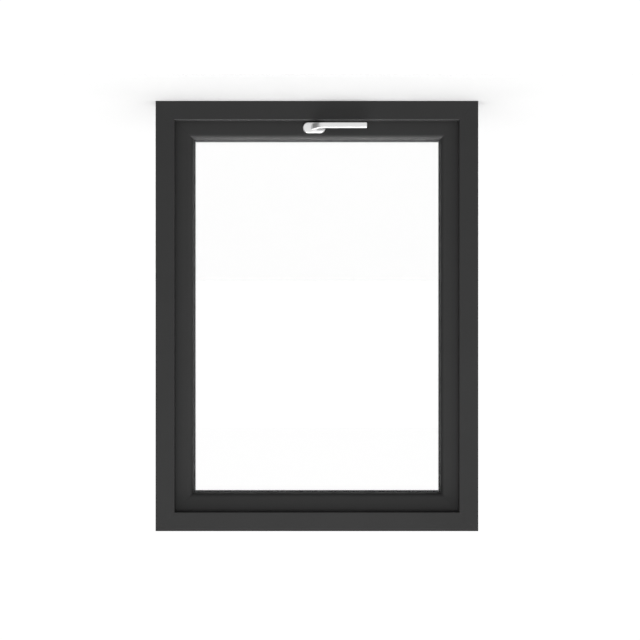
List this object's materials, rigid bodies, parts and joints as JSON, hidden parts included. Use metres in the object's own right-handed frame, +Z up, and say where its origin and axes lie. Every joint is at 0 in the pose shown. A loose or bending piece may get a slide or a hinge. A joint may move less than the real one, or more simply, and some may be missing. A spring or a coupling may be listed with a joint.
{
  "type": "bottom-hung window",
  "caption": "Dark grey plastic-framed window hinged along its foot and opening outward, with double glazing and a turning lever handle on the sash's top rail.",
  "frame": {"origin": "middle of the flat underside of the outer frame's sill", "axes": "+X to the right seen from the room, +Y from the room to the outside, +Z up"},
  "size_m": [0.9, 0.119, 1.2],
  "materials": {
    "frame_profile": "satin extruded plastic with a fine grain",
    "sash_profile": "satin extruded plastic with a fine grain",
    "glazing_bead": "satin extruded plastic with a fine grain",
    "float_glass": "clear polished",
    "seal_rubber": "matt",
    "edge_sealant": "matt",
    "spacer_bar": "satin",
    "block_plastic": "matt",
    "cap_plastic": "satin",
    "handle_metal": "satin anodised",
    "base_metal": "zinc plated",
    "spindle_steel": "zinc plated",
    "hinge_metal": "satin powder coat",
    "pin_steel": "satin"
  },
  "bodies": {
    "window": {"frame_head": "frame_profile", "frame_sill": "frame_profile", "frame_jamb_left": "frame_profile", "frame_jamb_right": "frame_profile", "sash_top_rail": "sash_profile", "sash_bottom_rail": "sash_profile", "sash_stile_left": "sash_profile", "sash_stile_right": "sash_profile", "bead_top": "glazing_bead", "bead_bottom": "glazing_bead", "bead_left": "glazing_bead", "bead_right": "glazing_bead", "glass_pane_inner": "float_glass", "glass_pane_outer": "float_glass", "glass_spacer": "spacer_bar", "glass_edge_seal": "edge_sealant", "stop_seal": "seal_rubber", "flange_seal": "seal_rubber", "glazing_seal_inner": "seal_rubber", "glazing_seal_outer": "seal_rubber", "setting_blocks": "block_plastic", "handle_cover": "handle_metal", "handle_base": "base_metal", "hinge_left_frame_leaf": "hinge_metal", "hinge_left_sash_leaf": "hinge_metal", "hinge_left_pin": "pin_steel", "hinge_right_frame_leaf": "hinge_metal", "hinge_right_sash_leaf": "hinge_metal", "hinge_right_pin": "pin_steel", "drain_caps": "cap_plastic"},
    "handle": {"handle_lever": "handle_metal", "handle_spindle": "spindle_steel"}
  },
  "joints": [
    {"name": "handle_turn", "type": "hinge", "parent": "window", "child": "handle", "pos_m": [-0.0075, -0.011, 1.1285], "axis": [0, 1, 0], "range_deg": [0, 90]}
  ]
}
